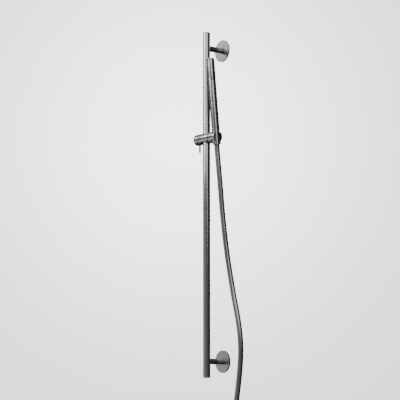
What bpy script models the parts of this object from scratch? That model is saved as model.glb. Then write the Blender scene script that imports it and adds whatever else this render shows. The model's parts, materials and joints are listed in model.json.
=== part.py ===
"""Shower slide rail with a stick handset, a tilting holder and a hose.

The origin is the middle of the upper wall plate's back face. +Y points into the wall,
+X to the right and +Z up. Sizes below are in millimetres; meshes are made in metres.
"""
from math import acos, cos, pi, radians, sin, sqrt

import bmesh
import bpy
from mathutils import Matrix, Vector

MM = 0.001
GAP = 0.3                      # running clearance between touching pieces

# ---- driving dimensions, mm -------------------------------------------------------------
RAIL_LENGTH = 900.0
RAIL_RADIUS = 9.4
RAIL_WALL = 1.5
POST_FROM_END = 42.0
POST_RADIUS = 7.3
WALL_TO_RAIL = 55.5            # wall face to rail axis
ROSETTE_RADIUS = 29.0
ROSETTE_DEPTH = 4.5
ROSETTE_SKIN = 1.2             # thickness of the rosette's front
ROSETTE_HOLLOW = 25.5          # radius of the room behind that front
PLATE_RADIUS = 22.0
PLATE_DEPTH = 2.5
PLATE_SCREW_X = 14.0           # screw distance from the plate's middle
STUB_RADIUS = 4.0              # stub of the wall plate, inside the post
STUB_END = 22.0
POST_BORE = 4.35
GRUB_FROM_WALL = 14.0
GRUB_RADIUS = 1.95
STUD_RADIUS = 3.0              # screw that holds the rail on its post
CAP_DEPTH = 3.0                # visible part of a rail cap
CAP_PLUG = 12.0                # a cap's whole length
EDGE = 0.4                     # small edge bevel
ROUND_EDGE = 0.8               # edge bevel of turned ends

SLIDER_HEIGHT = -240.0         # barrel axis above the upper post
BARREL_RADIUS = 14.6
KNOB_END = -38.4               # left end of the barrel, from the rail axis
KNOB_FACE = -22.2
BODY_LEFT = -21.0
BODY_RIGHT = 19.0
HOLDER_LEFT = 20.2
HOLDER_END = 47.6
LINER_BORE = 9.75              # the liner slides on the rail, and the barrel turns round it
LINER_RADIUS = 11.15
LINER_HALF = 8.9
LINER_SLIT = 0.75              # half width of the liner's slit
CLAMP_SCREW_RADIUS = 4.0
CLAMP_SCREW_TIP = -15.4
KNOB_FLOOR = -31.6             # floor of the knob's open end
KNOB_SOCKET = 9.0
TILT_BOLT_RADIUS = 3.0
TILT_HEAD_RADIUS = 4.6
TILT_WASHER = (19.3, 19.9)     # faces of the friction washer
LEVER_X = -28.0
LEVER_RADIUS = 2.5
LEVER_REACH = 34.0

HANDSET_X = 40.0               # handset axis, from the rail axis
HANDSET_LEAN = radians(5.4)    # top leans away from the wall
HANDSET_RADIUS = 10.25
HANDSET_WALL = 1.5
HANDSET_BOTTOM = 21.3          # heights along the handset axis, from the barrel axis
HEAD_JOINT = 147.0
HANDSET_TOP = 204.0
NUT_BOTTOM = -20.5
NUT_TOP = 21.0
NUT_BOTTOM_RADIUS = 8.9
NUT_TOP_RADIUS = 10.3
NUT_BORE = 7.4
NUT_THREAD_RADIUS = 8.65
NUT_LEDGE = 7.0                # the ferrule's flange rests on it
SEAT_LEDGE = -12.3             # lower end of the plastic seat
SLOT_HALF = 7.45               # half width of the holder's slot
CONNECTOR_BORE = 4.85
TUBE_RADIUS = 5.5              # inner water tube
TUBE_SOCKET = 5.85
WINDOW_ANGLE = 38.5            # half angle of the opening for the spray plate
PLATE_ANGLE = 36.5             # half angle of the spray plate
MAT_RADIUS = 8.4
MAT_CHORD = 5.9                # flat back of the nozzle mat, from the axis
NOZZLE_HOLE = 1.05
NOZZLE_RADIUS = 0.58
NOZZLE_ROWS = 9
NOZZLE_PITCH = 5.0
NOZZLE_COLUMNS = (-22.0, 0.0, 22.0)

HOSE_RADIUS = 7.0
HOSE_LENGTH = 1550.0           # free hose between its two end fittings
HOSE_ROUTE = (                 # x, y, z of the part that hangs down
    (41.2, -50.5, -300.0), (43.7, -46.5, -355.0), (48.0, -40.0, -450.0),
    (57.0, -34.0, -543.0), (72.5, -28.5, -636.0), (94.5, -26.2, -729.0),
    (102.0, -27.1, -789.0), (99.2, -29.3, -849.0), (92.0, -32.5, -912.0),
    (88.0, -34.5, -952.0), (87.0, -35.0, -990.0))
COIL_RADIUS = 59.0
COIL_TURNS = 2
COIL_PITCH = 14.8              # sideways step of each turn, towards the room
TIE_HALF = 5.0                 # half width of the band round the coil
TIE_SKIN = 1.0
UNION_BORE = 4.5
UNION_FLANGE = 9.3
UNION_CORNER = 13.9            # centre to corner of the end nut
UNION_THREAD = 9.75            # radius of the end nut's threaded bore
UNION_SHOULDER = -17.6
UNION_SEAL = (-20.3, -22.3)    # faces of the washer
UNION_MOUTH = -30.0

RAIL_TOP = POST_FROM_END
RAIL_BOTTOM = RAIL_TOP - RAIL_LENGTH
LOWER_POST = RAIL_BOTTOM + POST_FROM_END
RAIL_BORE = RAIL_RADIUS - RAIL_WALL

# ---- materials --------------------------------------------------------------------------
METALS = {"steel": ((0.32, 0.31, 0.30), 0.30), "zinc": ((0.55, 0.55, 0.54), 0.35),
          "brass": ((0.70, 0.52, 0.26), 0.32)}
PLASTICS = {"black": (0.03, 0.03, 0.032), "grey": (0.35, 0.35, 0.36),
            "white": (0.78, 0.78, 0.76), "hose": (0.30, 0.30, 0.31)}


def material(node, kind):
    """A Principled material of its own for one node."""
    mat = bpy.data.materials.new(node)
    mat.use_nodes = True
    bsdf = mat.node_tree.nodes["Principled BSDF"]
    metal = kind in METALS
    colour, rough = METALS[kind] if metal else (PLASTICS[kind], 0.45)
    bsdf.inputs["Base Color"].default_value = (*colour, 1.0)
    bsdf.inputs["Roughness"].default_value = rough
    bsdf.inputs["Metallic"].default_value = 1.0 if metal else 0.0
    return mat


# ---- mesh helpers -----------------------------------------------------------------------
def new_object(name, bm):
    """Turn a bmesh drawn in millimetres into an object in metres."""
    bmesh.ops.scale(bm, vec=(MM, MM, MM), verts=bm.verts)
    bmesh.ops.recalc_face_normals(bm, faces=bm.faces)
    mesh = bpy.data.meshes.new(name)
    bm.to_mesh(mesh)
    bm.free()
    obj = bpy.data.objects.new(name, mesh)
    bpy.context.collection.objects.link(obj)
    return obj


AXES = {"Z": Matrix.Identity(3), "X": Matrix.Rotation(pi / 2, 3, "Y"),
        "OUT": Matrix.Rotation(pi / 2, 3, "X")}


def turned(name, outline, segments=24, axis="Z", at=(0, 0, 0)):
    """Turn an outline of (radius, height) corners about an axis through the point at.

    Height runs along +Z, along +X, or out of the wall. An outline that starts and ends
    at radius 0 gives a solid piece, any other gives a ring.
    """
    bm = bmesh.new()
    rings = []
    for radius, height in outline:
        if radius == 0:
            rings.append([bm.verts.new((0, 0, height))])
            continue
        ring = []
        for step in range(segments):
            angle = 2 * pi * step / segments
            ring.append(bm.verts.new((radius * cos(angle), radius * sin(angle), height)))
        rings.append(ring)
    pairs = list(zip(rings, rings[1:]))
    if outline[0][0] > 0:
        pairs.append((rings[-1], rings[0]))
    for lower, upper in pairs:
        for step in range(segments):
            after = (step + 1) % segments
            corners = {lower[step % len(lower)]: None, lower[after % len(lower)]: None,
                       upper[after % len(upper)]: None, upper[step % len(upper)]: None}
            bm.faces.new(list(corners))
    bmesh.ops.rotate(bm, verts=bm.verts, cent=(0, 0, 0), matrix=AXES[axis])
    bmesh.ops.translate(bm, verts=bm.verts, vec=at)
    return new_object(name, bm)


def rod(name, radius, start, end, segments=20, axis="Z", at=(0, 0, 0)):
    """A plain round rod."""
    return turned(name, [(0, start), (radius, start), (radius, end), (0, end)],
                  segments, axis, at)


def prism(name, outline, bottom, top):
    """Extrude a flat outline of (x, y) corners upwards."""
    bm = bmesh.new()
    face = bm.faces.new([bm.verts.new((x, y, bottom)) for x, y in outline])
    raised = bmesh.ops.extrude_face_region(bm, geom=[face])
    moved = [item for item in raised["geom"] if isinstance(item, bmesh.types.BMVert)]
    bmesh.ops.translate(bm, verts=moved, vec=(0, 0, top - bottom))
    return new_object(name, bm)


def block(name, low, high):
    """A plain box between two corners."""
    corners = [(low[0], low[1]), (high[0], low[1]), (high[0], high[1]), (low[0], high[1])]
    return prism(name, corners, low[2], high[2])


def boolean(target, tools, operation="DIFFERENCE"):
    """Cut, keep or join with the tools, then remove them."""
    for tool in tools:
        modifier = target.modifiers.new("cut", "BOOLEAN")
        modifier.operation = operation
        modifier.solver = "EXACT"
        modifier.object = tool
    graph = bpy.context.evaluated_depsgraph_get()
    mesh = bpy.data.meshes.new_from_object(target.evaluated_get(graph))
    target.modifiers.clear()
    target.data = mesh
    mesh.name = target.name
    for tool in tools:
        bpy.data.objects.remove(tool)


def joined(name, parts):
    """Several separate shapes as one object, for use as a single tool."""
    bm = bmesh.new()
    for part in parts:
        bm.from_mesh(part.data)
        bpy.data.objects.remove(part)
    bmesh.ops.scale(bm, vec=(1 / MM, 1 / MM, 1 / MM), verts=bm.verts)
    return new_object(name, bm)


def finish(obj, kind, frame):
    """Give the object its material and shading, and hang it on its frame."""
    obj.data.materials.clear()
    obj.data.materials.append(material(obj.name, kind))
    if obj.type == "MESH":
        obj.data.shade_smooth()
        obj.data.set_sharp_from_angle(angle=radians(35))
    obj.parent = frame
    return obj


def frame_at(name, place, lean=0.0):
    """An empty on a joint's axis or at a group's reference point, in millimetres."""
    empty = bpy.data.objects.new(name, None)
    empty.location = [value * MM for value in place]
    empty.rotation_euler = (lean, 0.0, 0.0)
    bpy.context.collection.objects.link(empty)
    return empty


# ---- wall side and rail -----------------------------------------------------------------
def wall_end(label, height, frame):
    """Plate, screws, rosette, post and rail fixing at one end of the rail."""
    spot = (0, 0, height)
    plate = turned(label + "_wall_plate",
                   [(0, 0), (PLATE_RADIUS, 0), (PLATE_RADIUS, PLATE_DEPTH),
                    (STUB_RADIUS, PLATE_DEPTH), (STUB_RADIUS, STUB_END), (0, STUB_END)],
                   24, "OUT", spot)
    for side, sign in (("left", -1), ("right", 1)):
        place = (sign * PLATE_SCREW_X, 0, height)
        hole = turned("hole", [(0, -1), (2.4, -1), (2.4, 0.7), (4.3, 2.3), (4.3, 3.5), (0, 3.5)],
                      12, "OUT", place)
        boolean(plate, [hole])
        screw = turned(label + "_wall_screw_" + side,
                       [(0, 0.1), (2.0, 0.1), (2.0, 0.9), (3.8, 2.4), (1.4, 2.4), (1.1, 1.3),
                        (0, 1.3)], 12, "OUT", place)
        finish(screw, "zinc", frame)
    finish(plate, "zinc", frame)

    front = ROSETTE_DEPTH
    rosette = turned(label + "_rosette",
                     [(ROSETTE_RADIUS, 0), (ROSETTE_RADIUS, front - EDGE),
                      (ROSETTE_RADIUS - EDGE, front), (POST_RADIUS + GAP, front),
                      (POST_RADIUS + GAP, front - ROSETTE_SKIN),
                      (ROSETTE_HOLLOW, front - ROSETTE_SKIN), (ROSETTE_HOLLOW, 0)],
                     36, "OUT", spot)
    finish(rosette, "steel", frame)

    foot = PLATE_DEPTH + EDGE
    post_end = WALL_TO_RAIL - RAIL_RADIUS / 2
    stud_bore = STUD_RADIUS + EDGE
    post = turned(label + "_post",
                  [(POST_BORE, foot), (POST_RADIUS, foot), (POST_RADIUS, post_end),
                   (stud_bore, post_end), (stud_bore, STUB_END + 2), (POST_BORE, STUB_END + 2)],
                  20, "OUT", spot)
    saddle = rod("saddle", RAIL_RADIUS + GAP, -20, 20, 28, "Z", (0, -WALL_TO_RAIL, height))
    under = (0, -GRUB_FROM_WALL, height)
    grub_hole = rod("grub_hole", GRUB_RADIUS + EDGE, -9, -3, 12, "Z", under)
    boolean(post, [saddle, grub_hole])
    finish(post, "steel", frame)

    grub = rod(label + "_post_grub_screw", GRUB_RADIUS, EDGE - POST_RADIUS,
               -EDGE - STUB_RADIUS, 12, "Z", under)
    finish(grub, "zinc", frame)
    stud_end = WALL_TO_RAIL + 1.5
    stud = rod(label + "_rail_stud", STUD_RADIUS, STUB_END + 4, stud_end, 12, "OUT", spot)
    finish(stud, "zinc", frame)

    insert = rod(label + "_rail_insert", RAIL_BORE - EDGE, -12, 12, 24, "Z",
                 (0, -WALL_TO_RAIL, height))
    boolean(insert, [rod("stud_hole", stud_bore, 40, stud_end + 1, 12, "OUT", spot)])
    finish(insert, "brass", frame)


def make_rail(frame):
    """The rail tube with its two caps."""
    centre = (0, -WALL_TO_RAIL, 0)
    low = RAIL_BOTTOM + CAP_DEPTH + GAP
    high = RAIL_TOP - CAP_DEPTH - GAP
    tube = turned("rail_tube", [(RAIL_BORE, low), (RAIL_RADIUS, low), (RAIL_RADIUS, high),
                                (RAIL_BORE, high)], 28, "Z", centre)
    for height in (0, LOWER_POST):
        stud_hole = rod("stud_hole", STUD_RADIUS + 0.5, WALL_TO_RAIL - 14, WALL_TO_RAIL - 2, 12,
                        "OUT", (0, 0, height))
        boolean(tube, [stud_hole])
    finish(tube, "steel", frame)
    for name, end, way in (("rail_top_cap", RAIL_TOP, -1), ("rail_bottom_cap", RAIL_BOTTOM, 1)):
        outline = [(0, end), (RAIL_RADIUS - ROUND_EDGE, end),
                   (RAIL_RADIUS, end + way * ROUND_EDGE), (RAIL_RADIUS, end + way * CAP_DEPTH),
                   (RAIL_BORE - GAP, end + way * CAP_DEPTH),
                   (RAIL_BORE - GAP, end + way * CAP_PLUG), (0, end + way * CAP_PLUG)]
        finish(turned(name, outline, 28, "Z", centre), "steel", frame)


# ---- slider -----------------------------------------------------------------------------
def make_slider(frame):
    """Barrel body, its slit liner on the rail, and the bolt that the holder turns on."""
    body = turned("slider_body", [(0, BODY_LEFT), (BARREL_RADIUS, BODY_LEFT),
                                  (BARREL_RADIUS, BODY_RIGHT), (0, BODY_RIGHT)], 32, "X")
    rail_hole = rod("rail_hole", LINER_RADIUS + 0.35, -20, 20, 24)
    screw_hole = rod("screw_hole", CLAMP_SCREW_RADIUS + EDGE, -30, 0, 16, "X")
    bolt_hole = rod("bolt_hole", TILT_BOLT_RADIUS + EDGE, 0, 30, 12, "X")
    boolean(body, [rail_hole, screw_hole, bolt_hole])
    finish(body, "steel", frame)

    liner = turned("rail_liner", [(LINER_BORE, -LINER_HALF), (LINER_RADIUS, -LINER_HALF),
                                  (LINER_RADIUS, LINER_HALF), (LINER_BORE, LINER_HALF)], 24)
    boolean(liner, [block("slit", (5, -LINER_SLIT, -20), (20, LINER_SLIT, 20))])
    finish(liner, "black", frame)

    left, right = TILT_WASHER
    bore = TILT_BOLT_RADIUS + EDGE
    rim = BARREL_RADIUS - 0.5
    washer = turned("tilt_friction_washer", [(bore, left), (rim, left), (rim, right),
                                             (bore, right)], 24, "X")
    finish(washer, "black", frame)
    head = 24.0
    spring = turned("tilt_spring_washer",
                    [(bore, head - 0.9), (TILT_HEAD_RADIUS, head - 0.9),
                     (TILT_HEAD_RADIUS, head - GAP), (bore, head - GAP)], 16, "X")
    finish(spring, "zinc", frame)
    tip, end = 12.5, 27.6
    key_radius, key_floor = 2.0, 25.5
    bolt = turned("tilt_bolt",
                  [(0, tip), (TILT_BOLT_RADIUS, tip), (TILT_BOLT_RADIUS, head),
                   (TILT_HEAD_RADIUS, head), (TILT_HEAD_RADIUS, end), (key_radius, end),
                   (key_radius, key_floor), (0, key_floor)], 12, "X")
    finish(bolt, "zinc", frame)


def make_knob(frame):
    """Clamp knob at the left end of the barrel, with its lever pin and screw."""
    bore = CLAMP_SCREW_RADIUS + EDGE
    knob = turned("clamp_knob",
                  [(bore, KNOB_FACE), (BARREL_RADIUS, KNOB_FACE),
                   (BARREL_RADIUS, KNOB_END + ROUND_EDGE), (BARREL_RADIUS - ROUND_EDGE, KNOB_END),
                   (KNOB_SOCKET, KNOB_END), (KNOB_SOCKET, KNOB_FLOOR), (bore, KNOB_FLOOR)],
                  32, "X")
    lever_foot = -5.0
    at_lever = (LEVER_X, 0, 0)
    boolean(knob, [rod("lever_hole", LEVER_RADIUS + EDGE, -20, lever_foot + 2, 12, "Z", at_lever)])
    finish(knob, "steel", frame)
    lever = turned("lever_pin", [(0, -LEVER_REACH), (LEVER_RADIUS - EDGE, -LEVER_REACH),
                                 (LEVER_RADIUS, EDGE - LEVER_REACH), (LEVER_RADIUS, lever_foot),
                                 (0, lever_foot)], 12, "Z", at_lever)
    finish(lever, "steel", frame)
    head_start = KNOB_FLOOR - GAP
    head_end, head_radius = head_start - 4.0, 6.5
    key_radius, key_floor = 3.0, head_end + 2.5
    screw = turned("clamp_screw",
                   [(0, CLAMP_SCREW_TIP), (CLAMP_SCREW_RADIUS, CLAMP_SCREW_TIP),
                    (CLAMP_SCREW_RADIUS, head_start), (head_radius, head_start),
                    (head_radius, head_end), (key_radius, head_end), (key_radius, key_floor),
                    (0, key_floor)], 16, "X")
    finish(screw, "zinc", frame)
    cap_radius, cap_back = KNOB_SOCKET - 0.35, head_end - 0.5
    cap = turned("knob_cap", [(0, cap_back), (cap_radius, cap_back), (cap_radius, KNOB_END + GAP),
                              (cap_radius - GAP, KNOB_END), (0, KNOB_END)], 28, "X")
    finish(cap, "steel", frame)
    left, right = KNOB_FACE + GAP, BODY_LEFT - GAP
    rim = BARREL_RADIUS - 0.5
    washer = turned("knob_washer", [(bore, left), (rim, left), (rim, right), (bore, right)],
                    24, "X")
    finish(washer, "black", frame)


def make_clamp_pad(frame):
    """Plastic pad between the clamp screw and the slit liner, which it squeezes on the rail."""
    pad = rod("clamp_pad", CLAMP_SCREW_RADIUS - 0.1, CLAMP_SCREW_TIP + 1, -LINER_RADIUS - 0.45,
              16, "X")
    finish(pad, "grey", frame)


# ---- holder -----------------------------------------------------------------------------
def nut_radius(height):
    """Outer radius of the conical hose nut at a height on the handset axis."""
    share = (height - NUT_BOTTOM) / (NUT_TOP - NUT_BOTTOM)
    return NUT_BOTTOM_RADIUS + share * (NUT_TOP_RADIUS - NUT_BOTTOM_RADIUS)


def make_holder(frame):
    """Right end of the barrel: a slotted conical seat for the hose nut."""
    left = HOLDER_LEFT - HANDSET_X
    right = HOLDER_END - HANDSET_X
    body = turned("holder_body", [(0, left), (BARREL_RADIUS, left),
                                  (BARREL_RADIUS, right - ROUND_EDGE),
                                  (BARREL_RADIUS - ROUND_EDGE, right), (0, right)], 32, "X")
    collar_end, collar_shoulder = -20.0, -9.0
    collar = turned("collar", [(0, collar_end), (10.6, collar_end), (12.0, collar_shoulder),
                               (12.0, 0), (0, 0)], 28)
    boolean(body, [collar], "UNION")
    play = 0.4
    low_bore = nut_radius(collar_end) + play
    seat = turned("seat", [(0, -26), (low_bore, -26), (low_bore, collar_end),
                           (nut_radius(SEAT_LEDGE) + play, SEAT_LEDGE), (10.9, SEAT_LEDGE),
                           (11.5, 20), (0, 20)], 28)
    slot = block("slot", (0, -SLOT_HALF, -30), (20, SLOT_HALF, 30))
    bolt_seat = 22.8 - HANDSET_X
    counterbore = rod("counterbore", TILT_HEAD_RADIUS + EDGE, bolt_seat, -8, 16, "X")
    bolt_hole = rod("bolt_hole", TILT_BOLT_RADIUS + EDGE, -30, -8, 12, "X")
    boolean(body, [seat, slot, counterbore, bolt_hole])
    finish(body, "steel", frame)

    low, top = SEAT_LEDGE + GAP, 11.0
    liner = turned("holder_liner", [(nut_radius(SEAT_LEDGE) + 0.32, low), (10.55, low),
                                    (11.0, top), (nut_radius(top) + 0.32, top)], 28)
    trim = rod("trim", BARREL_RADIUS - 0.5, -30, 30, 24, "X")
    collar_room = rod("room", 11.5, -14, 0, 28)
    boolean(trim, [collar_room], "UNION")
    boolean(liner, [trim], "INTERSECT")
    slot_room = SLOT_HALF + 0.35
    boolean(liner, [block("slot", (0, -slot_room, -30), (20, slot_room, 30))])
    finish(liner, "black", frame)


# ---- handset ----------------------------------------------------------------------------
def arc_point(radius, degrees):
    """A point at an angle from the spray direction, -Y, towards +X."""
    angle = radians(degrees)
    return (radius * sin(angle), -radius * cos(angle))


def sector(name, inner, outer, half_angle, bottom, top):
    """A curved panel facing the spray direction."""
    steps = 8
    angles = [half_angle * (2 * step / steps - 1) for step in range(steps + 1)]
    outline = [arc_point(outer, angle) for angle in angles]
    outline += [arc_point(inner, angle) for angle in reversed(angles)]
    return prism(name, outline, bottom, top)


def nozzle_rods(name, radius, start, end):
    """One short radial rod for each nozzle."""
    middle = (HEAD_JOINT + HANDSET_TOP) / 2 - 1.0
    rods = []
    for row in range(NOZZLE_ROWS):
        height = middle + NOZZLE_PITCH * (row - (NOZZLE_ROWS - 1) / 2)
        for degrees in NOZZLE_COLUMNS:
            single = rod("nozzle", radius, start, end, 6, "OUT")
            single.data.transform(Matrix.Rotation(radians(degrees), 4, "Z"))
            single.data.transform(Matrix.Translation((0, 0, height * MM)))
            rods.append(single)
    return joined(name, rods)


def make_spray_head(frame):
    """Outer sleeve, spray plate, nozzle mat and the chamber behind them."""
    low = HEAD_JOINT + GAP
    high = HANDSET_TOP - 3.3
    inner = HANDSET_RADIUS - HANDSET_WALL
    frame_edge = 3.2
    sleeve = turned("spray_sleeve", [(inner, low), (HANDSET_RADIUS, low), (HANDSET_RADIUS, high),
                                     (inner, high)], 28)
    boolean(sleeve, [sector("window", 8, 12, WINDOW_ANGLE, low + frame_edge, high - frame_edge)])
    finish(sleeve, "steel", frame)

    plate_edge = frame_edge + GAP
    plate = sector("spray_plate", inner + 0.1, HANDSET_RADIUS - 0.1, PLATE_ANGLE,
                   low + plate_edge, high - plate_edge)
    boolean(plate, [nozzle_rods("holes", NOZZLE_HOLE, 7.5, 12)])
    finish(plate, "steel", frame)

    span = acos(MAT_CHORD / MAT_RADIUS) * 180 / pi
    outline = [arc_point(MAT_RADIUS, span * (2 * step / 10 - 1)) for step in range(11)]
    mat = prism("nozzle_mat", outline, low + 2.5, high - 2.5)
    boolean(mat, [nozzle_rods("nozzles", NOZZLE_RADIUS, 7.0, HANDSET_RADIUS + 0.45)], "UNION")
    finish(mat, "black", frame)

    neck_foot, tube_stop = 138.0, 143.3
    chamber = turned("spray_chamber", [(0, 149), (4.3, 149), (4.3, tube_stop),
                                       (TUBE_SOCKET, tube_stop), (TUBE_SOCKET, neck_foot),
                                       (MAT_RADIUS, neck_foot), (MAT_RADIUS, high - 2),
                                       (0, high - 2)], 24)
    face = block("face", (-12, -12, low + 2.2), (12, GAP - MAT_CHORD, high))
    hollow = block("hollow", (-4.4, -7, 146), (4.4, 4.4, high - 4))
    boolean(chamber, [face, hollow])
    finish(chamber, "white", frame)

    rim = high + GAP
    cap = turned("handset_top_cap", [(0, rim - 1.7), (MAT_RADIUS, rim - 1.7), (MAT_RADIUS, rim),
                                     (HANDSET_RADIUS, rim), (HANDSET_RADIUS, HANDSET_TOP - EDGE),
                                     (HANDSET_RADIUS - EDGE, HANDSET_TOP), (0, HANDSET_TOP)], 28)
    finish(cap, "steel", frame)


def make_handle(frame):
    """Handle tube, its inner water way and the threaded connector below."""
    inner = HANDSET_RADIUS - HANDSET_WALL
    handle = turned("handle_tube", [(inner, HANDSET_BOTTOM), (HANDSET_RADIUS, HANDSET_BOTTOM),
                                    (HANDSET_RADIUS, HEAD_JOINT), (inner, HEAD_JOINT)], 28)
    finish(handle, "steel", frame)
    thread_end, stop, top = 21.0, 30.0, 36.0
    connector = turned("handset_connector",
                       [(CONNECTOR_BORE, 12), (8.3, 12), (8.3, thread_end), (8.4, thread_end),
                        (8.4, top), (TUBE_SOCKET, top), (TUBE_SOCKET, stop),
                        (CONNECTOR_BORE, stop)], 24)
    finish(connector, "brass", frame)
    tube = turned("water_tube", [(4.2, stop + GAP), (TUBE_RADIUS, stop + GAP),
                                 (TUBE_RADIUS, 143.0), (4.2, 143.0)], 20)
    finish(tube, "white", frame)
    for name, height in (("lower_tube_seal", top + GAP), ("upper_tube_seal", 136.1)):
        ring = turned(name, [(TUBE_SOCKET, height + 0.4), (6.3, height), (7.3, height),
                             (7.7, height + 0.8), (7.3, height + 1.6), (6.3, height + 1.6)], 16)
        finish(ring, "black", frame)
    limiter = turned("flow_limiter", [(1.6, 14), (4.5, 14), (4.5, 18), (1.6, 18)], 16)
    finish(limiter, "white", frame)
    flange_top, washer_top = 10.0, 11.7
    washer = turned("union_washer", [(3.5, flange_top + GAP), (8.2, flange_top + GAP),
                                     (8.2, washer_top), (3.5, washer_top)], 24)
    finish(washer, "black", frame)
    flange = NUT_LEDGE + GAP
    ferrule = turned("hose_ferrule", [(4.0, NUT_BOTTOM), (7.0, NUT_BOTTOM), (7.0, flange),
                                      (8.2, flange), (8.2, flange_top), (4.0, flange_top)], 24)
    finish(ferrule, "brass", frame)


def make_nut(frame):
    """Conical nut between handset and hose."""
    nut = turned("hose_nut", [(NUT_BORE, NUT_BOTTOM), (NUT_BOTTOM_RADIUS, NUT_BOTTOM),
                              (NUT_TOP_RADIUS, NUT_TOP - EDGE), (NUT_TOP_RADIUS - EDGE, NUT_TOP),
                              (NUT_THREAD_RADIUS, NUT_TOP), (NUT_THREAD_RADIUS, NUT_LEDGE),
                              (NUT_BORE, NUT_LEDGE)], 28)
    finish(nut, "steel", frame)


# ---- hose -------------------------------------------------------------------------------
def handset_point(height):
    """World position of a point on the handset axis."""
    return Vector((HANDSET_X, -WALL_TO_RAIL - height * sin(HANDSET_LEAN),
                   SLIDER_HEIGHT + height * cos(HANDSET_LEAN)))


def smooth_curve(points, start_way, end_way, steps=12):
    """A Hermite curve through the points, with given directions at its two ends."""
    places = [Vector(point) for point in points]
    ways = [Vector(start_way)]
    for before, after in zip(places, places[2:]):
        ways.append((after - before).normalized())
    ways.append(Vector(end_way))
    line = [places[0]]
    for first, last, way_in, way_out in zip(places, places[1:], ways, ways[1:]):
        reach = (last - first).length
        for step in range(1, steps + 1):
            t = step / steps
            line.append((2 * t**3 - 3 * t**2 + 1) * first + (3 * t**2 - 2 * t**3) * last
                        + (t**3 - 2 * t**2 + t) * reach * way_in
                        + (t**3 - t**2) * reach * way_out)
    return line


def length_of(line):
    """Length of a chain of points."""
    return sum((after - before).length for before, after in zip(line, line[1:]))


def resampled(line, spacing):
    """Points at an even spacing along a chain of points."""
    count = max(2, round(length_of(line) / spacing))
    step = length_of(line) / count
    result = [line[0]]
    travelled = 0.0
    for before, after in zip(line, line[1:]):
        stretch = (after - before).length
        while len(result) < count and travelled + stretch >= step * len(result):
            share = (step * len(result) - travelled) / stretch
            result.append(before.lerp(after, share))
        travelled += stretch
    result.append(line[-1])
    return result


def tube_along(name, line, radius):
    """A curve object with a round section and filled ends; the points are in millimetres."""
    data = bpy.data.curves.new(name, "CURVE")
    data.dimensions = "3D"
    spline = data.splines.new("POLY")
    spline.points.add(len(line) - 1)
    for point, place in zip(spline.points, line):
        point.co = (*(place * MM), 1.0)
    data.bevel_depth = radius * MM
    data.bevel_resolution = 2
    data.use_fill_caps = True
    obj = bpy.data.objects.new(name, data)
    bpy.context.collection.objects.link(obj)
    return obj


def make_hose(frame, origin):
    """Hanging hose, its coiled remainder, the tie and the end union."""
    down = Vector((0, sin(HANDSET_LEAN), -cos(HANDSET_LEAN)))
    route = [handset_point(NUT_BOTTOM - GAP)] + [Vector(point) for point in HOSE_ROUTE]
    hanging = smooth_curve(route, down, (0, 0, -1))
    coil_left = route[-1]
    centre = Vector((coil_left.x + COIL_RADIUS, coil_left.y - COIL_PITCH, coil_left.z))

    # The coil's outer edge crosses the hose's path this far above and below its middle.
    outer = COIL_RADIUS + HOSE_RADIUS + GAP
    clear = sqrt(outer**2 - (COIL_RADIUS - HOSE_RADIUS - GAP)**2)
    free = [point for point in resampled(hanging, 16) if point.z > centre.z + clear + 1.0]
    finish(tube_along("hose_tube", [point - origin for point in free], HOSE_RADIUS),
           "hose", frame)

    half = COIL_TURNS * COIL_PITCH / 2 + HOSE_RADIUS
    inner = COIL_RADIUS - HOSE_RADIUS - GAP
    coil = turned("hose_coil", [(inner, -half), (outer, -half), (outer, half), (inner, half)],
                  36, "OUT", centre - origin)
    finish(coil, "hose", frame)

    side = centre + Vector((COIL_RADIUS, 0, 0)) - origin
    room = Vector((HOSE_RADIUS + 1.0, half + 0.5, TIE_HALF + 1.0))
    skin = Vector((TIE_SKIN, TIE_SKIN, -1.0))
    tie = block("hose_tie", side - room - skin, side + room + skin)
    boolean(tie, [block("inside", side - room, side + room)])
    finish(tie, "black", frame)

    turn = sqrt((2 * pi * COIL_RADIUS)**2 + COIL_PITCH**2)
    drop = HOSE_LENGTH - length_of(hanging) - COIL_TURNS * turn
    tail_top = Vector((coil_left.x, coil_left.y - COIL_TURNS * COIL_PITCH, centre.z - clear - 1.0))
    tail_end = Vector((tail_top.x, tail_top.y, centre.z - drop))
    steps = 3
    tail = [tail_top.lerp(tail_end, step / steps) - origin for step in range(steps + 1)]
    finish(tube_along("hose_tail", tail, HOSE_RADIUS), "hose", frame)
    return tail_end - origin


def make_end_union(frame):
    """Fitting on the far end; heights run down from the end of the hose."""
    crimp_radius, neck_radius = 8.0, HOSE_RADIUS
    crimp_end, flange, face = -10.0, -18.0, -20.0
    ferrule = turned("end_ferrule",
                     [(UNION_BORE, -GAP), (crimp_radius, -GAP), (crimp_radius, crimp_end),
                      (neck_radius, crimp_end), (neck_radius, flange), (UNION_FLANGE, flange),
                      (UNION_FLANGE, face), (UNION_BORE, face)], 24)
    finish(ferrule, "brass", frame)
    top, bottom = UNION_SEAL
    rim = UNION_FLANGE - 0.1
    washer = turned("end_washer", [(5.2, top), (rim, top), (rim, bottom), (5.2, bottom)], 20)
    finish(washer, "black", frame)


def make_end_nut(frame):
    """Six-sided union nut with its open female thread pointing down."""
    nut = rod("end_nut", UNION_CORNER, -12, UNION_MOUTH, 6)
    neck = HOSE_RADIUS + EDGE
    bore = turned("bore", [(0, -5), (neck, -5), (neck, UNION_SHOULDER),
                           (UNION_THREAD, UNION_SHOULDER), (UNION_THREAD, UNION_MOUTH - 10),
                           (0, UNION_MOUTH - 10)], 24)
    boolean(nut, [bore])
    finish(nut, "brass", frame)


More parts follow.
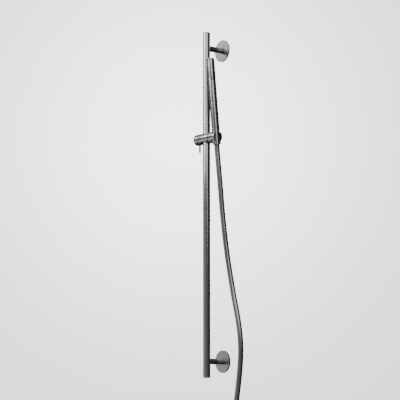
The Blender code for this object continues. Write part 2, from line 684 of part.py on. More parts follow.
# ---- assembly ---------------------------------------------------------------------------
def main():
    for obj in list(bpy.data.objects):
        bpy.data.objects.remove(obj)

    wall = frame_at("wall_frame", (0, 0, 0))
    wall_end("upper", 0.0, wall)
    wall_end("lower", LOWER_POST, wall)
    make_rail(wall)

    barrel = (0, -WALL_TO_RAIL, SLIDER_HEIGHT)
    make_slider(frame_at("slider_frame", barrel))
    make_knob(frame_at("knob_axis", barrel))
    make_clamp_pad(frame_at("pad_axis", barrel))

    socket = (HANDSET_X, -WALL_TO_RAIL, SLIDER_HEIGHT)
    make_holder(frame_at("tilt_axis", socket, HANDSET_LEAN))
    handset = frame_at("handset_axis", socket, HANDSET_LEAN)
    make_handle(handset)
    make_spray_head(handset)
    make_nut(frame_at("nut_axis", socket, HANDSET_LEAN))

    exit_point = handset_point(NUT_BOTTOM - GAP)
    hose = frame_at("hose_exit", exit_point)
    union = frame_at("union_axis", make_hose(hose, exit_point))
    union.parent = hose
    make_end_union(union)
    make_end_nut(union)


main()
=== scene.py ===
"""Looks of the shower slide rail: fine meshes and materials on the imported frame."""
import json
from math import cos, pi, radians, sin, tau

import bmesh
import bpy
from mathutils import Matrix, Vector


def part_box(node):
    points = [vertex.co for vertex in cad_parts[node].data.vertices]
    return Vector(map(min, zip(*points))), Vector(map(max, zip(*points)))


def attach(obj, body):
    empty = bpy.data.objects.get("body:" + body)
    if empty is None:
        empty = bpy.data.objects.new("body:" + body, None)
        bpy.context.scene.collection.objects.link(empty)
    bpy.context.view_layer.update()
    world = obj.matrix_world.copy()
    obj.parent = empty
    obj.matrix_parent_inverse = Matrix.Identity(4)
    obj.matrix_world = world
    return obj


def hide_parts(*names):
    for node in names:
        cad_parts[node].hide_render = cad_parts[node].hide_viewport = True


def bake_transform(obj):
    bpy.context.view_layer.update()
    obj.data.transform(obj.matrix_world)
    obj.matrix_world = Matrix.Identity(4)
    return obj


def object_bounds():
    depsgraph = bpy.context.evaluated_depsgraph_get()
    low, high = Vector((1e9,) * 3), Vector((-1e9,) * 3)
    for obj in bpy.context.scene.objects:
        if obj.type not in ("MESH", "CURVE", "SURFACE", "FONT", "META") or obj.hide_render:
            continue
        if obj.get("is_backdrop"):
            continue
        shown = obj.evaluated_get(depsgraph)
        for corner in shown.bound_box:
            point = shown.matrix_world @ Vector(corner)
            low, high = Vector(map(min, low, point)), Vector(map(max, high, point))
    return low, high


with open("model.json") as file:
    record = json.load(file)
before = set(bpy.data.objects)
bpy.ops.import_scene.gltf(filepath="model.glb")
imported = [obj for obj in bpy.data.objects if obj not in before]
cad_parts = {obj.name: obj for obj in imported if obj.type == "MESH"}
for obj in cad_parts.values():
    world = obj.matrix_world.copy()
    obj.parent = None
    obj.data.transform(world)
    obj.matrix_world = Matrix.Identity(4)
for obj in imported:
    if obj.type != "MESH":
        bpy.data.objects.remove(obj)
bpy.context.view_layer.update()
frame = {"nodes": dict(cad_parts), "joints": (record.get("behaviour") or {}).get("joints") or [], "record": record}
MM = 0.001
JOINTS = {joint["name"]: joint for joint in frame["joints"]}
NODES = frame["nodes"]


# ---- places, read from the frame --------------------------------------------------------
def middle(node):
    """Middle of a node's box."""
    low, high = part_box(node)
    return (low + high) / 2


def axis_frame(origin, up, forward):
    """Matrix with local +Z along up and local -Y as near as it gets to forward."""
    z = Vector(up).normalized()
    y = -(Vector(forward) - Vector(forward).dot(z) * z).normalized()
    x = y.cross(z)
    matrix = Matrix((x, y, z)).transposed().to_4x4()
    matrix.translation = Vector(origin)
    return matrix


ROOM = Vector((0, -1, 0))
rail_low, rail_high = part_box("rail_bottom_cap")[0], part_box("rail_top_cap")[1]
rail_middle = middle("rail_tube")
RAIL = axis_frame((rail_middle.x, rail_middle.y, 0), (0, 0, 1), ROOM)
BARREL = axis_frame(JOINTS["knob_turn"]["pos_m"], (1, 0, 0), ROOM)
HANDSET = axis_frame(JOINTS["nut_spin"]["pos_m"], JOINTS["nut_spin"]["axis"], ROOM)
HOLDER = HANDSET @ Matrix.Rotation(pi / 2, 4, "Y")
UNION = axis_frame(JOINTS["end_nut_spin"]["pos_m"], (0, 0, 1), ROOM)
HOSE_EXIT = Vector(JOINTS["hose_bend"]["pos_m"])
WALL_ENDS = {label: axis_frame((0, 0, middle(label + "_rosette").z), ROOM, (0, 0, 1))
             for label in ("upper", "lower")}

# ---- sizes in millimetres, as the real pieces measure ----------------------------------
RAIL_RADIUS = 9.4
RAIL_BORE = 7.9
RAIL_TOP = rail_high.z / MM
RAIL_BOTTOM = rail_low.z / MM
POST_RADIUS = 7.3
ROSETTE_RADIUS = 29.0
PLATE_RADIUS = 22.0
WALL_TO_RAIL = -rail_middle.y / MM

# Along the barrel: knob, washer, slider body, washer, holder, with a fine gap at each joint.
BARREL_RADIUS = 14.6
BODY_ENDS = (-21.0, 19.0)
WASHER = 1.0
GAP = 0.1
KNOB_ENDS = (-38.4, BODY_ENDS[0] - WASHER - 2 * GAP)
HOLDER_ENDS = (BODY_ENDS[1] + WASHER + 2 * GAP, 47.6)
LINER_HALF = 8.9
LINER_SLIT_HALF = 0.75

# Along the handset, from the point where its axis meets the barrel's.
HANDSET_X = JOINTS["nut_spin"]["pos_m"][0] / MM
HANDSET_RADIUS = 10.25
HANDSET_BORE = 8.75
NUT_ENDS = (-20.5, 21.0)
NUT_RADII = (8.9, 10.3)
HEAD_JOINT = 147.0
HANDSET_TOP = 204.0
SEAM = 0.15
HEAD_ENDS = (HEAD_JOINT + SEAM, HANDSET_TOP - 3.3)
WINDOW_ENDS = (HEAD_ENDS[0] + 3.4, HEAD_ENDS[1] - 3.2)
WINDOW_HALF_ANGLE = 37.6
NOZZLE_ROWS = 9
NOZZLE_PITCH = 5.0
NOZZLE_ANGLES = (-22.0, 0.0, 22.0)

HOSE_RADIUS = 7.0
HOSE_LENGTH = 1550.0
HOSE_ROUTE = (
    (41.2, -50.5, -300.0), (43.7, -46.5, -355.0), (48.0, -40.0, -450.0),
    (57.0, -34.0, -543.0), (72.5, -28.5, -636.0), (94.5, -26.2, -729.0),
    (102.0, -27.1, -789.0), (99.2, -29.3, -849.0), (92.0, -32.5, -912.0),
    (88.0, -34.5, -952.0), (87.0, -35.0, -990.0))
COIL_RADIUS = 59.0
COIL_TURNS = 2
COIL_PITCH = 14.8


# ---- objects ----------------------------------------------------------------------------
def add_object(name, data):
    """A new object in the scene."""
    obj = bpy.data.objects.new(name, data)
    bpy.context.scene.collection.objects.link(obj)
    return obj


def add_mesh(name, bm):
    """A new mesh object from a bmesh, which is used up."""
    mesh = bpy.data.meshes.new(name)
    bm.to_mesh(mesh)
    bm.free()
    return add_object(name, mesh)


# ---- shader nodes -----------------------------------------------------------------------
def math_node(tree, operation, first, second=None, clamp=False):
    """A math node; each input is a socket or a number."""
    node = tree.nodes.new("ShaderNodeMath")
    node.operation = operation
    node.use_clamp = clamp
    for slot, value in zip(node.inputs, (first, second)):
        if isinstance(value, bpy.types.NodeSocket):
            tree.links.new(value, slot)
        elif value is not None:
            slot.default_value = value
    return node.outputs[0]


def separate(tree, vector):
    """The three numbers of a vector socket."""
    node = tree.nodes.new("ShaderNodeSeparateXYZ")
    tree.links.new(vector, node.inputs[0])
    return node.outputs


def ramp_node(tree, stops, source):
    """A colour ramp of grey stops, fed from a socket."""
    node = tree.nodes.new("ShaderNodeValToRGB")
    ramp = node.color_ramp
    ramp.interpolation = "LINEAR"
    while len(ramp.elements) < len(stops):
        ramp.elements.new(0.5)
    for element, (place, grey) in zip(ramp.elements, stops):
        element.position = place
        element.color = (grey, grey, grey, 1.0)
    tree.links.new(source, node.inputs["Fac"])
    return node.outputs["Color"]


def noise_node(tree, vector, scale, detail, rough):
    """A noise texture on a coordinate socket."""
    node = tree.nodes.new("ShaderNodeTexNoise")
    node.inputs["Scale"].default_value = scale
    node.inputs["Detail"].default_value = detail
    node.inputs["Roughness"].default_value = rough
    tree.links.new(vector, node.inputs["Vector"])
    return node.outputs["Fac"]


NOISE_RANGE = (0.3, 0.7)


def map_range(tree, noise, low, high):
    """Spread the range that noise mostly keeps to over another one."""
    node = tree.nodes.new("ShaderNodeMapRange")
    node.inputs["From Min"].default_value = NOISE_RANGE[0]
    node.inputs["From Max"].default_value = NOISE_RANGE[1]
    node.inputs["To Min"].default_value = low
    node.inputs["To Max"].default_value = high
    tree.links.new(noise, node.inputs["Value"])
    return node.outputs["Result"]


def mixed_colour(tree, factor, first, second):
    """A colour that runs from the first to the second by a socket."""
    node = tree.nodes.new("ShaderNodeMix")
    node.data_type = "RGBA"
    node.inputs["A"].default_value = (*first, 1.0)
    node.inputs["B"].default_value = (*second, 1.0)
    tree.links.new(factor, node.inputs["Factor"])
    return node.outputs["Result"]


# ---- camera, light and floor ------------------------------------------------------------
CAMERA_PLACE = (3.026, -2.4575, -0.895)
CAMERA_TURN = radians(51.811)
CAMERA_TILT = radians(7.29)
SENSOR_WIDTH = 36.0
LENS = 135.5
TO_CAMERA = Vector((sin(CAMERA_TURN), -cos(CAMERA_TURN)))

# Brightness of the room round the object, by degrees to the camera's right.
AROUND = ((-180, 0.10), (-150, 0.15), (-128, 0.38), (-99, 0.50), (-59, 0.42), (-25, 0.30),
          (6, 0.20), (38, 0.16), (60, 0.07), (74, 0.05), (150, 0.05), (180, 0.30))
# Its share by degrees above the horizon.
UPWARD = ((-90, 0.03), (-44, 0.03), (-38, 0.25), (-32, 1.25), (-23, 1.5), (-10, 0.95),
          (-2, 0.85), (4, 0.80), (8, 0.60), (12, 0.60), (18, 1.5), (27, 4.4), (34, 1.7),
          (45, 1.3), (90, 2.6))
# Divisors that keep both ramps within 0 to 1.
AROUND_SCALE, UPWARD_SCALE = 2.0, 5.0
ROOM_TINT = (0.985, 0.99, 1.0)

# The backdrop that the camera sees: an even light with a brighter patch behind the rail.
BACKDROP_LIGHT = 2.0
BACKDROP_TINT = (0.88, 0.92, 1.0)
GLOW_LIGHT = 2.5
GLOW_SPREAD = 0.0072
GLOW_WAY = Vector((-0.788, 0.600, 0.168)).normalized()

STAND_OFF = 2.0
FLOOR_DROP = 0.30
FLOOR_RADIUS = 25.0


def make_camera():
    """A long lens to the right of the rail, level with its lower end, looking up a little."""
    data = bpy.data.cameras.new("camera")
    data.sensor_width = SENSOR_WIDTH
    data.lens = LENS
    camera = add_object("camera", data)
    camera.location = CAMERA_PLACE
    look = Vector((-TO_CAMERA.x * cos(CAMERA_TILT), -TO_CAMERA.y * cos(CAMERA_TILT),
                   sin(CAMERA_TILT)))
    camera.rotation_euler = look.to_track_quat("-Z", "Y").to_euler()
    bpy.context.scene.camera = camera


def room_light(tree, place):
    """The room that the metal mirrors, by turn from the camera and by height."""
    x, y, z = separate(tree, place)
    along = math_node(tree, "ADD", math_node(tree, "MULTIPLY", x, TO_CAMERA.x),
                      math_node(tree, "MULTIPLY", y, TO_CAMERA.y))
    across = math_node(tree, "ADD", math_node(tree, "MULTIPLY", x, -TO_CAMERA.y),
                       math_node(tree, "MULTIPLY", y, TO_CAMERA.x))
    angle = math_node(tree, "ARCTAN2", across, along)
    turn = math_node(tree, "ADD", math_node(tree, "DIVIDE", angle, tau), 0.5)
    rise = math_node(tree, "ADD",
                     math_node(tree, "DIVIDE", math_node(tree, "ARCSINE", z), pi), 0.5)
    stops = [(degrees / 360 + 0.5, grey / AROUND_SCALE) for degrees, grey in AROUND]
    round_room = ramp_node(tree, stops, turn)
    stops = [(degrees / 180 + 0.5, grey / UPWARD_SCALE) for degrees, grey in UPWARD]
    up_room = ramp_node(tree, stops, rise)
    return math_node(tree, "MULTIPLY", math_node(tree, "MULTIPLY", round_room, up_room),
                     AROUND_SCALE * UPWARD_SCALE)


def backdrop_light(tree, place):
    """The light behind the object, brightest along GLOW_WAY."""
    near = tree.nodes.new("ShaderNodeVectorMath")
    near.operation = "DOT_PRODUCT"
    near.inputs[1].default_value = GLOW_WAY
    tree.links.new(place, near.inputs[0])
    away = math_node(tree, "DIVIDE", math_node(tree, "SUBTRACT", near.outputs["Value"], 1.0),
                     GLOW_SPREAD)
    glow = math_node(tree, "EXPONENT", away)
    return math_node(tree, "ADD", math_node(tree, "MULTIPLY", glow, GLOW_LIGHT),
                     BACKDROP_LIGHT)


def make_world():
    """The room: bright above and at the left, dim at the right, a glow on the backdrop."""
    world = bpy.data.worlds.new("studio")
    bpy.context.scene.world = world
    world.use_nodes = True
    tree = world.node_tree
    tree.nodes.clear()
    place = tree.nodes.new("ShaderNodeTexCoord").outputs["Generated"]
    seen = tree.nodes.new("ShaderNodeLightPath").outputs["Is Camera Ray"]
    choose = tree.nodes.new("ShaderNodeMix")
    choose.data_type = "FLOAT"
    tree.links.new(seen, choose.inputs["Factor"])
    tree.links.new(room_light(tree, place), choose.inputs["A"])
    tree.links.new(backdrop_light(tree, place), choose.inputs["B"])
    tint = mixed_colour(tree, seen, ROOM_TINT, BACKDROP_TINT)
    shine = tree.nodes.new("ShaderNodeBackground")
    tree.links.new(tint, shine.inputs["Color"])
    tree.links.new(choose.outputs["Result"], shine.inputs["Strength"])
    out = tree.nodes.new("ShaderNodeOutputWorld")
    tree.links.new(shine.outputs[0], out.inputs["Surface"])


def stand(obj, degrees, low, high, face):
    """Stand an object by the set, at degrees to the camera's right, with a face to the set."""
    way = Matrix.Rotation(radians(degrees), 2) @ TO_CAMERA
    obj.location = (way.x * STAND_OFF, way.y * STAND_OFF, (low + high) / 2)
    obj.rotation_euler = Vector((-way.x, -way.y, 0)).to_track_quat(face, "Y").to_euler()


def make_lamp(name, degrees, width, low, high, glow):
    """A soft box that the camera doesn't see; low and high are its ends."""
    data = bpy.data.lights.new(name, "AREA")
    data.shape = "RECTANGLE"
    data.size = width
    data.size_y = high - low
    data.energy = glow * pi * width * (high - low)
    lamp = add_object(name, data)
    stand(lamp, degrees, low, high, "-Z")
    lamp.visible_camera = False


def make_card(name, degrees, width, low, high):
    """A black card that only shows as a dark line in the metal."""
    bm = bmesh.new()
    bmesh.ops.create_grid(bm, x_segments=1, y_segments=1, size=0.5)
    bmesh.ops.scale(bm, vec=(width, high - low, 1.0), verts=bm.verts)
    card = add_mesh(name, bm)
    stand(card, degrees, low, high, "Z")
    card.data.materials.append(plain(name + "_paint", (0.02, 0.02, 0.02), 0.9, 0.0))
    card.visible_camera = False
    card.visible_diffuse = False
    card.visible_shadow = False
    card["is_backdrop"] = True


def make_floor():
    """A pale floor well below the hose."""
    bm = bmesh.new()
    bmesh.ops.create_circle(bm, cap_ends=True, segments=96, radius=FLOOR_RADIUS)
    floor = add_mesh("floor", bm)
    floor.location = (0, 0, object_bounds()[0][2] - FLOOR_DROP)
    paint = plain("floor_paint", (0.86, 0.865, 0.87), 0.75, 0.0, 8.0)
    shader = paint.node_tree.nodes["Principled BSDF"]
    shader.inputs["Emission Color"].default_value = (0.97, 0.98, 1.0, 1.0)
    shader.inputs["Emission Strength"].default_value = 1.55
    floor.data.materials.append(paint)
    floor.visible_glossy = False
    floor.visible_diffuse = False
    floor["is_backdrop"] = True


# ---- materials --------------------------------------------------------------------------
GUNMETAL = (0.41, 0.405, 0.40)
# Lighter copy of the gunmetal for the hose nut: painted highlight, so its reflections come out brighter than its
# own finish gives.
NUT_HIGHLIGHT_METAL = (0.56, 0.555, 0.55)
# Darker copy of the gunmetal for the lever pin: painted shade, so the slim pin reads dark.
LEVER_SHADE_METAL = (0.14, 0.14, 0.14)
UNION_METAL = (0.42, 0.415, 0.41)
ZINC = (0.50, 0.50, 0.49)
BRASS = (0.62, 0.45, 0.21)
ACETAL = (0.028, 0.028, 0.03)
RUBBER = (0.03, 0.03, 0.03)
SILICONE = (0.035, 0.035, 0.037)
SHEATH = ((0.25, 0.25, 0.255), (0.37, 0.365, 0.36))
WINDING_PITCH = 0.0024
# Noise scales along a piece's own X, Y and Z: the grain runs along the smallest.
GRAINS = {"drawn": (1700.0, 1700.0, 9.0), "turned": (40.0, 40.0, 2600.0),
          "faced": (2600.0, 40.0, 40.0)}


def new_material(name):
    """A material with its node tree and Principled shader."""
    mat = bpy.data.materials.new(name)
    mat.use_nodes = True
    return mat, mat.node_tree, mat.node_tree.nodes["Principled BSDF"]


def shades(colour, darker, lighter):
    """A darker and a lighter shade of a colour."""
    return ([channel * darker for channel in colour],
            [min(1.0, channel * lighter) for channel in colour])


def bump_into(tree, bsdf, height, strength, distance):
    """Drive the shader's normal from a height socket."""
    bump = tree.nodes.new("ShaderNodeBump")
    bump.inputs["Strength"].default_value = strength
    bump.inputs["Distance"].default_value = distance
    tree.links.new(height, bump.inputs["Height"])
    tree.links.new(bump.outputs["Normal"], bsdf.inputs["Normal"])


def local_coordinates(tree, place):
    """Coordinates in a piece's own frame: its axis is Z and its origin is on the axis."""
    inverse = place.inverted()
    mapping = tree.nodes.new("ShaderNodeMapping")
    mapping.vector_type = "POINT"
    mapping.inputs["Location"].default_value = inverse.translation
    mapping.inputs["Rotation"].default_value = inverse.to_euler()
    coord = tree.nodes.new("ShaderNodeTexCoord").outputs["Object"]
    tree.links.new(coord, mapping.inputs["Vector"])
    return mapping.outputs["Vector"]


def stretched(tree, vector, scale):
    """The same coordinates, scaled along each axis."""
    node = tree.nodes.new("ShaderNodeVectorMath")
    node.operation = "MULTIPLY"
    node.inputs[1].default_value = scale
    tree.links.new(vector, node.inputs[0])
    return node.outputs["Vector"]


def ring_coordinates(tree, vector):
    """Distance from the axis as X, so that noise runs in rings."""
    x, y, z = separate(tree, vector)
    squares = math_node(tree, "ADD", math_node(tree, "MULTIPLY", x, x),
                        math_node(tree, "MULTIPLY", y, y))
    angle = math_node(tree, "ARCTAN2", y, x)
    joined = tree.nodes.new("ShaderNodeCombineXYZ")
    tree.links.new(math_node(tree, "SQRT", squares), joined.inputs["X"])
    tree.links.new(math_node(tree, "MULTIPLY", angle, 0.004), joined.inputs["Y"])
    tree.links.new(z, joined.inputs["Z"])
    return joined.outputs["Vector"]


def brushed(name, place, grain, colour=GUNMETAL, rough=0.17):
    """Brushed metal whose fine grain runs along, around or in rings about an axis."""
    mat, tree, bsdf = new_material(name)
    vector = local_coordinates(tree, place)
    if grain == "faced":
        vector = ring_coordinates(tree, vector)
    lines = noise_node(tree, stretched(tree, vector, GRAINS[grain]), 1.0, 4.0, 0.6)
    smudge = noise_node(tree, vector, 28.0, 4.0, 0.55)
    tree.links.new(mixed_colour(tree, smudge, *shades(colour, 0.90, 1.06)),
                   bsdf.inputs["Base Color"])
    bsdf.inputs["Metallic"].default_value = 1.0
    grainy = map_range(tree, lines, -0.03, 0.03)
    cloudy = map_range(tree, smudge, rough - 0.03, rough + 0.04)
    tree.links.new(math_node(tree, "ADD", grainy, cloudy, True), bsdf.inputs["Roughness"])
    bump_into(tree, bsdf, lines, 0.06, 0.00003)
    return mat


def plain(name, colour, rough, metallic, scale=600.0, bump=0.08):
    """Moulded, cast or plated surface: a fine uneven skin in one colour."""
    mat, tree, bsdf = new_material(name)
    coord = tree.nodes.new("ShaderNodeTexCoord").outputs["Object"]
    fine = noise_node(tree, coord, scale, 5.0, 0.6)
    broad = noise_node(tree, coord, scale * 0.06, 3.0, 0.5)
    tree.links.new(mixed_colour(tree, broad, *shades(colour, 0.88, 1.08)),
                   bsdf.inputs["Base Color"])
    tree.links.new(map_range(tree, fine, rough - 0.05, rough + 0.05),
                   bsdf.inputs["Roughness"])
    bsdf.inputs["Metallic"].default_value = metallic
    bump_into(tree, bsdf, fine, bump, 0.0001)
    return mat


def hose_material():
    """Metal-look plastic sheath over a fine winding, seen as close rings along the hose."""
    mat, tree, bsdf = new_material("hose_sheath")
    uv = tree.nodes.new("ShaderNodeUVMap")
    uv.uv_map = "hose"
    turns, metres, _ = separate(tree, uv.outputs["UV"])
    wound = math_node(tree, "ADD", math_node(tree, "MULTIPLY", metres, 1 / WINDING_PITCH), turns)
    wave = math_node(tree, "SINE", math_node(tree, "MULTIPLY", wound, tau))
    ridge = math_node(tree, "ADD", math_node(tree, "MULTIPLY", wave, 0.5), 0.5)
    coord = tree.nodes.new("ShaderNodeTexCoord").outputs["Object"]
    cloud = noise_node(tree, coord, 35.0, 4.0, 0.5)
    blend = math_node(tree, "ADD", math_node(tree, "MULTIPLY", ridge, 0.35),
                      math_node(tree, "MULTIPLY", cloud, 0.65))
    tree.links.new(mixed_colour(tree, blend, *SHEATH), bsdf.inputs["Base Color"])
    tree.links.new(map_range(tree, cloud, 0.17, 0.24), bsdf.inputs["Roughness"])
    bsdf.inputs["Metallic"].default_value = 0.95
    bsdf.inputs["Coat Weight"].default_value = 0.25
    bsdf.inputs["Coat Roughness"].default_value = 0.10
    bump_into(tree, bsdf, ridge, 0.03, 0.00012)
    return mat


# ---- mesh helpers, in millimetres -------------------------------------------------------
EDGE_STEPS = 4
BEVEL_SEGMENTS = 2
BEVEL_ANGLE = radians(40)
SMOOTH_ANGLE = radians(32)
ASKEW = Matrix.Rotation(0.013, 4, "Z")


def ring(inner, outer, low, high):
    """Outline of a plain tube or washer, or of a solid rod where inner is 0."""
    return [(inner, low), (outer, low), (outer, high), (inner, high)]


def rounded(outline, radius):
    """Replace each corner of an outline off the axis by a small arc."""
    closed = outline[0][0] > 0
    count = len(outline)
    result = []
    for index, corner in enumerate(outline):
        here = Vector(corner)
        if not closed and index in (0, count - 1):
            result.append(here)
            continue
        before = Vector(outline[(index - 1) % count]) - here
        after = Vector(outline[(index + 1) % count]) - here
        cut = min(radius, before.length * 0.45, after.length * 0.45)
        start = here + before.normalized() * cut
        end = here + after.normalized() * cut
        for step in range(EDGE_STEPS + 1):
            t = step / EDGE_STEPS
            result.append((1 - t)**2 * start + 2 * t * (1 - t) * here + t**2 * end)
    return result


def mesh_object(name, bm, place):
    """An object from a bmesh in millimetres, set down by a matrix in metres."""
    bmesh.ops.scale(bm, vec=(MM, MM, MM), verts=bm.verts)
    bmesh.ops.transform(bm, matrix=place, verts=bm.verts)
    bmesh.ops.recalc_face_normals(bm, faces=bm.faces)
    return add_mesh(name, bm)


def turned(name, outline, place, segments, edge):
    """Turn an outline of (radius, height) corners about a frame's Z axis, edges eased."""
    points = rounded(outline, edge) if edge else [Vector(corner) for corner in outline]
    bm = bmesh.new()
    rings = []
    for radius, height in points:
        if radius == 0:
            rings.append([bm.verts.new((0, 0, height))])
            continue
        rings.append([bm.verts.new((radius * cos(tau * step / segments),
                                    radius * sin(tau * step / segments), height))
                      for step in range(segments)])
    pairs = list(zip(rings, rings[1:]))
    if points[0].x > 0:
        pairs.append((rings[-1], rings[0]))
    for lower, upper in pairs:
        for step in range(segments):
            after = (step + 1) % segments
            corners = dict.fromkeys((lower[step % len(lower)], lower[after % len(lower)],
                                     upper[after % len(upper)], upper[step % len(upper)]))
            bm.faces.new(list(corners))
    return mesh_object(name, bm, place)


def rod(name, radius, start, end, place, segments):
    """A round tool, turned a little so that its edges don't lie on the target's."""
    return turned(name, ring(0, radius, start, end), place @ ASKEW, segments, 0)


def prism(name, outline, bottom, top, place):
    """A flat outline of (x, y) corners, extruded along Z."""
    bm = bmesh.new()
    face = bm.faces.new([bm.verts.new((x, y, bottom)) for x, y in outline])
    raised = bmesh.ops.extrude_face_region(bm, geom=[face])
    moved = [item for item in raised["geom"] if isinstance(item, bmesh.types.BMVert)]
    bmesh.ops.translate(bm, verts=moved, vec=(0, 0, top - bottom))
    return mesh_object(name, bm, place)


def block(name, low, high, place):
    """A box between two corners of a frame."""
    corners = [(low[0], low[1]), (high[0], low[1]), (high[0], high[1]), (low[0], high[1])]
    return prism(name, corners, low[2], high[2], place)


def bake(obj):
    """Apply an object's modifiers to its mesh."""
    graph = bpy.context.evaluated_depsgraph_get()
    mesh = bpy.data.meshes.new_from_object(obj.evaluated_get(graph))
    obj.modifiers.clear()
    obj.data = mesh


def boolean(target, tools, operation="DIFFERENCE"):
    """Cut, keep or join with the tools, then remove them."""
    for tool in tools:
        modifier = target.modifiers.new("cut", "BOOLEAN")
        modifier.operation = operation
        modifier.solver = "EXACT"
        modifier.object = tool
    bake(target)
    for tool in tools:
        bpy.data.objects.remove(tool)


def ease_edges(obj, width):
    """Round the sharp edges left by a cut."""
    bevel = obj.modifiers.new("ease", "BEVEL")
    bevel.width = width * MM
    bevel.segments = BEVEL_SEGMENTS
    bevel.limit_method = "ANGLE"
    bevel.angle_limit = BEVEL_ANGLE
    bevel.use_clamp_overlap = True
    bake(obj)


def merged(name, parts):
    """Several meshes as one object."""
    bm = bmesh.new()
    for part in parts:
        bm.from_mesh(part.data)
        bpy.data.objects.remove(part)
    return add_mesh(name, bm)


def place_piece(obj, body, slot, material, *nodes):
    """Shade a finished piece, give it its finish and let it ride on its body."""
    obj.data.materials.clear()
    obj.data.materials.append(material)
    obj.data.shade_smooth()
    obj.data.set_sharp_from_angle(angle=SMOOTH_ANGLE)
    if body:
        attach(obj, body)
    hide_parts(*nodes)


# ---- hose: route, tube and coil ---------------------------------------------------------
CURVE_STEPS = 24
TURN_STEPS = 72
TAIL_STEPS = 12
ROW_SPACING = 0.0035
TUBE_SEGMENTS = 40


def smooth_curve(points, start_way, end_way):
    """A Hermite curve through the points, with given directions at its two ends."""
    ways = [Vector(start_way)]
    for before, after in zip(points, points[2:]):
        ways.append((after - before).normalized())
    ways.append(Vector(end_way))
    line = [points[0]]
    for first, last, way_in, way_out in zip(points, points[1:], ways, ways[1:]):
        reach = (last - first).length
        for step in range(1, CURVE_STEPS + 1):
            t = step / CURVE_STEPS
            line.append((2 * t**3 - 3 * t**2 + 1) * first + (3 * t**2 - 2 * t**3) * last
                        + (t**3 - 2 * t**2 + t) * reach * way_in
                        + (t**3 - t**2) * reach * way_out)
    return line


def length_of(line):
    """Length of a chain of points."""
    return sum((after - before).length for before, after in zip(line, line[1:]))


def hose_path():
    """The whole centreline in metres: hanging part, coil and tail."""
    start = HOSE_EXIT / MM
    axis = Vector(JOINTS["nut_spin"]["axis"])
    line = smooth_curve([start] + [Vector(point) for point in HOSE_ROUTE], -axis, (0, 0, -1))
    centre = line[-1] + Vector((COIL_RADIUS, 0, 0))
    for step in range(1, COIL_TURNS * TURN_STEPS + 1):
        turns = step / TURN_STEPS
        angle = pi + tau * turns
        line.append(centre + Vector((COIL_RADIUS * cos(angle), -COIL_PITCH * turns,
                                     COIL_RADIUS * sin(angle))))
    rest = HOSE_LENGTH - length_of(line)
    for _ in range(TAIL_STEPS):
        line.append(line[-1] + Vector((0, 0, -rest / TAIL_STEPS)))
    return [point * MM for point in line]


def even_points(line, spacing):
    """Points at an even spacing along a chain of points."""
    total = length_of(line)
    count = round(total / spacing)
    step = total / count
    result = [line[0]]
    travelled = 0.0
    for before, after in zip(line, line[1:]):
        stretch = (after - before).length
        while len(result) < count and travelled + stretch >= step * len(result):
            result.append(before.lerp(after, (step * len(result) - travelled) / stretch))
        travelled += stretch
    result.append(line[-1])
    return result


def tube_mesh(name, line, radius):
    """A round tube along a chain of points, with turns and metres as its UV map."""
    bm = bmesh.new()
    uv = bm.loops.layers.uv.new("hose")
    way = (line[1] - line[0]).normalized()
    side = way.orthogonal().normalized()
    angles = [tau * k / TUBE_SEGMENTS for k in range(TUBE_SEGMENTS)]
    rings = []
    travelled = [0.0]
    for index, point in enumerate(line):
        ahead = line[min(index + 1, len(line) - 1)] - line[max(index - 1, 0)]
        new_way = ahead.normalized()
        side = (way.rotation_difference(new_way) @ side).normalized()
        way = new_way
        other = way.cross(side)
        rings.append([bm.verts.new(point + radius * (cos(angle) * side + sin(angle) * other))
                      for angle in angles])
        if index:
            travelled.append(travelled[-1] + (point - line[index - 1]).length)
    for index in range(len(rings) - 1):
        for k in range(TUBE_SEGMENTS):
            after = (k + 1) % TUBE_SEGMENTS
            face = bm.faces.new((rings[index][k], rings[index][after],
                                 rings[index + 1][after], rings[index + 1][k]))
            places = ((k, index), (k + 1, index), (k + 1, index + 1), (k, index + 1))
            for loop, (turn, row) in zip(face.loops, places):
                loop[uv].uv = (turn / TUBE_SEGMENTS, travelled[row])
    bm.faces.new(list(reversed(rings[0])))
    bm.faces.new(rings[-1])
    return add_mesh(name, bm)


def make_end_ferrule():
    """Crimped ferrule at the hose's far end, with the flange that the union nut pulls on."""
    bore, stem, groove, sleeve, flange = 4.5, 7.0, 7.6, 8.0, 9.3
    outline = [(bore, -0.1), (sleeve, -0.1)]
    for top in (-2.2, -6.0):
        outline += [(sleeve, top), (groove, top - 0.6), (groove, top - 1.2), (sleeve, top - 1.8)]
    outline += [(sleeve, -10.0), (stem, -10.4), (stem, -18.0), (flange, -18.0),
                (flange, -20.0), (bore, -20.0)]
    ferrule = turned("end_ferrule_fine", outline, UNION, 64, 0.2)
    metal = plain("union_metal", UNION_METAL, 0.27, 1.0, 900.0, 0.05)
    place_piece(ferrule, "hose", "raw_brass", metal, "end_ferrule")
    return ferrule


def make_end_washer():
    """Seal under the ferrule's flange."""
    washer = turned("end_washer_fine", ring(5.2, 9.3, -20.2, -22.3), UNION, 64, 0.3)
    place_piece(washer, "hose", "black_rubber", plain("washer_rubber", RUBBER, 0.6, 0.0),
                "end_washer")
    return washer


